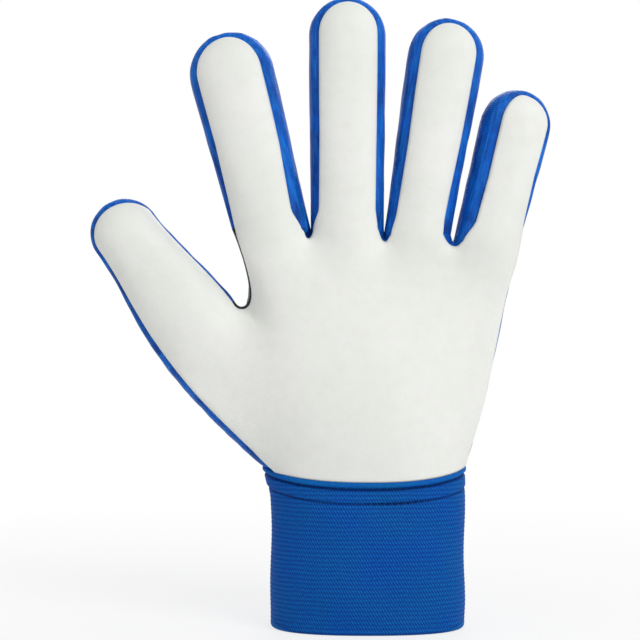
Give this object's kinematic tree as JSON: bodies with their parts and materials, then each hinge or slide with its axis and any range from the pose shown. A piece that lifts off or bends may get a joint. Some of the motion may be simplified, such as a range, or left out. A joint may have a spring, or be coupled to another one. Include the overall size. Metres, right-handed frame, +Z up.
{
  "type": "goalkeeper glove",
  "caption": "Left-hand goalkeeper glove with a flat foam palm, fabric gussets, padded backhand, jointed fingers and a knitted slip-on cuff.",
  "frame": {"origin": "centre of the cuff's mouth, where the hand goes in", "axes": "+Z up the middle finger, -Y out of the palm, -X to the thumb's side; the glove stands on its cuff"},
  "size_m": [0.1849, 0.0494, 0.2537],
  "materials": {
    "latex": "matt smooth foam latex",
    "lining": "matt tricot",
    "gusset_fabric": "matt stretch mesh",
    "cuff_knit": "matt ribbed elastic knit",
    "backhand_blue": "matt padded fabric",
    "backhand_black": "matt padded fabric"
  },
  "bodies": {
    "hand": {"palm_latex": "latex", "palm_lining": "lining", "backhand_foam": "backhand_blue", "backhand_lining": "lining", "knuckle_panel": "backhand_black", "thumb_side_gusset": "gusset_fabric", "little_side_gusset": "gusset_fabric", "thumb_crotch_gusset": "backhand_black", "crotch_gusset_index_middle": "gusset_fabric", "crotch_gusset_middle_ring": "gusset_fabric", "crotch_gusset_ring_little": "gusset_fabric", "cuff_knit": "cuff_knit", "cuff_seam_band": "cuff_knit"},
    "index_base": {"index_base_latex": "latex", "index_base_back": "backhand_black", "index_base_gussets": "gusset_fabric", "index_base_lining": "lining"},
    "index_tip": {"index_tip_latex": "latex", "index_tip_back": "backhand_blue", "index_tip_gusset": "gusset_fabric", "index_tip_lining": "lining"},
    "middle_base": {"middle_base_latex": "latex", "middle_base_back": "backhand_black", "middle_base_gussets": "gusset_fabric", "middle_base_lining": "lining"},
    "middle_tip": {"middle_tip_latex": "latex", "middle_tip_back": "backhand_blue", "middle_tip_gusset": "gusset_fabric", "middle_tip_lining": "lining"},
    "ring_base": {"ring_base_latex": "latex", "ring_base_back": "backhand_black", "ring_base_gussets": "gusset_fabric", "ring_base_lining": "lining"},
    "ring_tip": {"ring_tip_latex": "latex", "ring_tip_back": "backhand_blue", "ring_tip_gusset": "gusset_fabric", "ring_tip_lining": "lining"},
    "little_base": {"little_base_latex": "latex", "little_base_back": "backhand_black", "little_base_gussets": "gusset_fabric", "little_base_lining": "lining"},
    "little_tip": {"little_tip_latex": "latex", "little_tip_back": "backhand_blue", "little_tip_gusset": "gusset_fabric", "little_tip_lining": "lining"},
    "thumb_base": {"thumb_base_latex": "latex", "thumb_base_back": "backhand_black", "thumb_base_gussets": "gusset_fabric", "thumb_base_lining": "lining"},
    "thumb_tip": {"thumb_tip_latex": "latex", "thumb_tip_back": "backhand_blue", "thumb_tip_gusset": "gusset_fabric", "thumb_tip_lining": "lining"}
  },
  "joints": [
    {"name": "index_base_bend", "type": "hinge", "parent": "hand", "child": "index_base", "pos_m": [-0.03906, -0.0135, 0.16115], "axis": [1, 0, 0], "range_deg": [0, 80], "stiffness_Nm_per_rad": 0.02},
    {"name": "index_tip_bend", "type": "hinge", "parent": "index_base", "child": "index_tip", "pos_m": [-0.04742, -0.01297, 0.19418], "axis": [1, 0, 0], "range_deg": [0, 85], "stiffness_Nm_per_rad": 0.015},
    {"name": "middle_base_bend", "type": "hinge", "parent": "hand", "child": "middle_base", "pos_m": [-0.0081, -0.0135, 0.16115], "axis": [1, 0, 0], "range_deg": [0, 80], "stiffness_Nm_per_rad": 0.02},
    {"name": "middle_tip_bend", "type": "hinge", "parent": "middle_base", "child": "middle_tip", "pos_m": [-0.0081, -0.013, 0.20006], "axis": [1, 0, 0], "range_deg": [0, 85], "stiffness_Nm_per_rad": 0.015},
    {"name": "ring_base_bend", "type": "hinge", "parent": "hand", "child": "ring_base", "pos_m": [0.02029, -0.0135, 0.15865], "axis": [1, 0, 0], "range_deg": [0, 80], "stiffness_Nm_per_rad": 0.02},
    {"name": "ring_tip_bend", "type": "hinge", "parent": "ring_base", "child": "ring_tip", "pos_m": [0.02611, -0.01299, 0.19504], "axis": [1, 0, 0], "range_deg": [0, 85], "stiffness_Nm_per_rad": 0.015},
    {"name": "little_base_bend", "type": "hinge", "parent": "hand", "child": "little_base", "pos_m": [0.04849, -0.0135, 0.15615], "axis": [1, 0, 0], "range_deg": [0, 80], "stiffness_Nm_per_rad": 0.02},
    {"name": "little_tip_bend", "type": "hinge", "parent": "little_base", "child": "little_tip", "pos_m": [0.05479, -0.01296, 0.18141], "axis": [1, 0, 0], "range_deg": [0, 85], "stiffness_Nm_per_rad": 0.015},
    {"name": "thumb_base_bend", "type": "hinge", "parent": "hand", "child": "thumb_base", "pos_m": [-0.06959, -0.0135, 0.12062], "axis": [0.8039, 0, 0.5948], "range_deg": [0, 35], "stiffness_Nm_per_rad": 0.02},
    {"name": "thumb_tip_bend", "type": "hinge", "parent": "thumb_base", "child": "thumb_tip", "pos_m": [-0.08486, -0.01296, 0.14126], "axis": [0.8039, 0, 0.5948], "range_deg": [0, 50], "stiffness_Nm_per_rad": 0.015}
  ]
}
